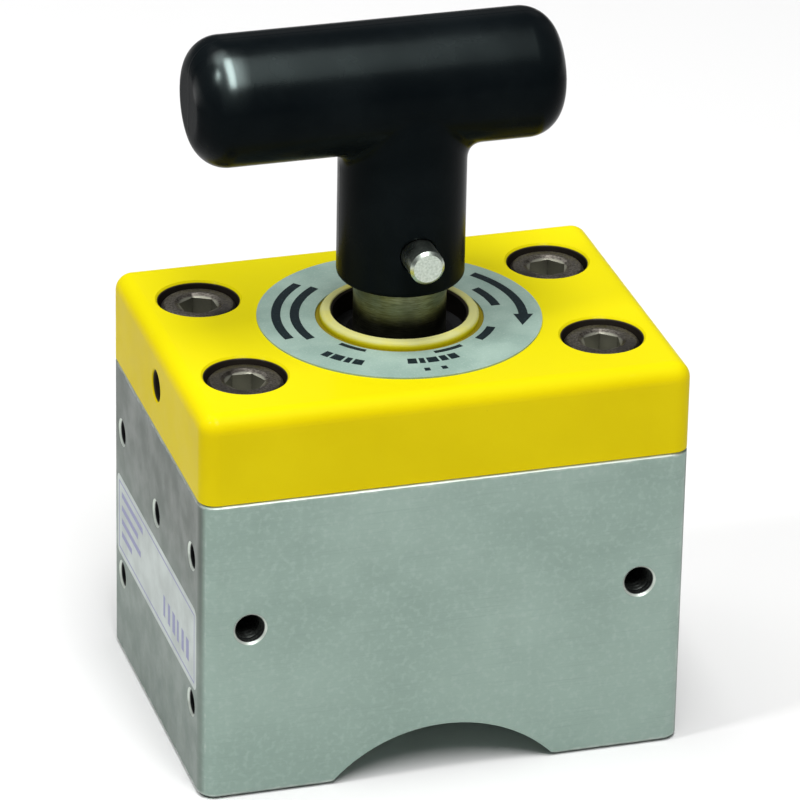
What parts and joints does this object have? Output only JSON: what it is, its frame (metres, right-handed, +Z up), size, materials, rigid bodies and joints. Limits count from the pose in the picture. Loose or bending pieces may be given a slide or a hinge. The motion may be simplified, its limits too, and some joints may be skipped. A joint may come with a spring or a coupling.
{
  "type": "lifting magnet",
  "caption": "Switchable block lifting magnet: plated steel pole block with a pipe channel below, a painted screwed-on cover and a T-handle that turns the upper magnet disc.",
  "frame": {"origin": "middle of the block's underside, on the surface that the two poles stand on", "axes": "+Z up along the shaft axis, -Y towards the front where the handle pin stands out, X across the two poles with the long end of the handle bar towards -X"},
  "size_m": [0.086, 0.062, 0.1267],
  "materials": {
    "plated_steel": "satin grey-green nickel plate",
    "yellow_paint": "glossy yellow enamel",
    "black_plastic": "glossy moulded black",
    "black_oxide": "black oxide",
    "bright_steel": "ground bright",
    "shaft_steel": "turned, lightly oiled",
    "spring_steel": "drawn wire",
    "magnet_nickel": "nickel plated magnet",
    "bronze": "sintered bronze",
    "rubber": "matt black",
    "label_foil": "matt pale grey foil"
  },
  "bodies": {
    "base": {"body_block": "plated_steel", "fixed_magnet": "magnet_nickel", "magnet_dowel": "bright_steel", "slip_disc": "bronze", "bearing_bush": "bronze", "shaft_seal": "rubber", "cover_o_ring": "rubber", "top_cover": "yellow_paint", "stop_pin": "bright_steel", "detent_screw": "black_oxide", "detent_spring": "spring_steel", "dial_label": "label_foil", "side_label": "label_foil", "cover_screw_1": "black_oxide", "cover_screw_2": "black_oxide", "cover_screw_3": "black_oxide", "cover_screw_4": "black_oxide"},
    "rotor": {"t_handle": "black_plastic", "handle_pin": "bright_steel", "drive_shaft": "shaft_steel", "shaft_screw_1": "black_oxide", "shaft_screw_2": "black_oxide", "shaft_screw_3": "black_oxide", "drive_plate": "shaft_steel", "rotating_magnet": "magnet_nickel"},
    "detent": {"detent_ball": "bright_steel"}
  },
  "joints": [
    {"name": "handle_turn", "type": "hinge", "parent": "base", "child": "rotor", "pos_m": [0, 0, 0.1], "axis": [0, 0, -1], "range_deg": [0, 180]},
    {"name": "detent_slide", "type": "slide", "parent": "base", "child": "detent", "axis": [1, 0, 0], "range_m": [0, 0.0008], "stiffness_N_per_m": 800, "springref_m": 0.003}
  ]
}
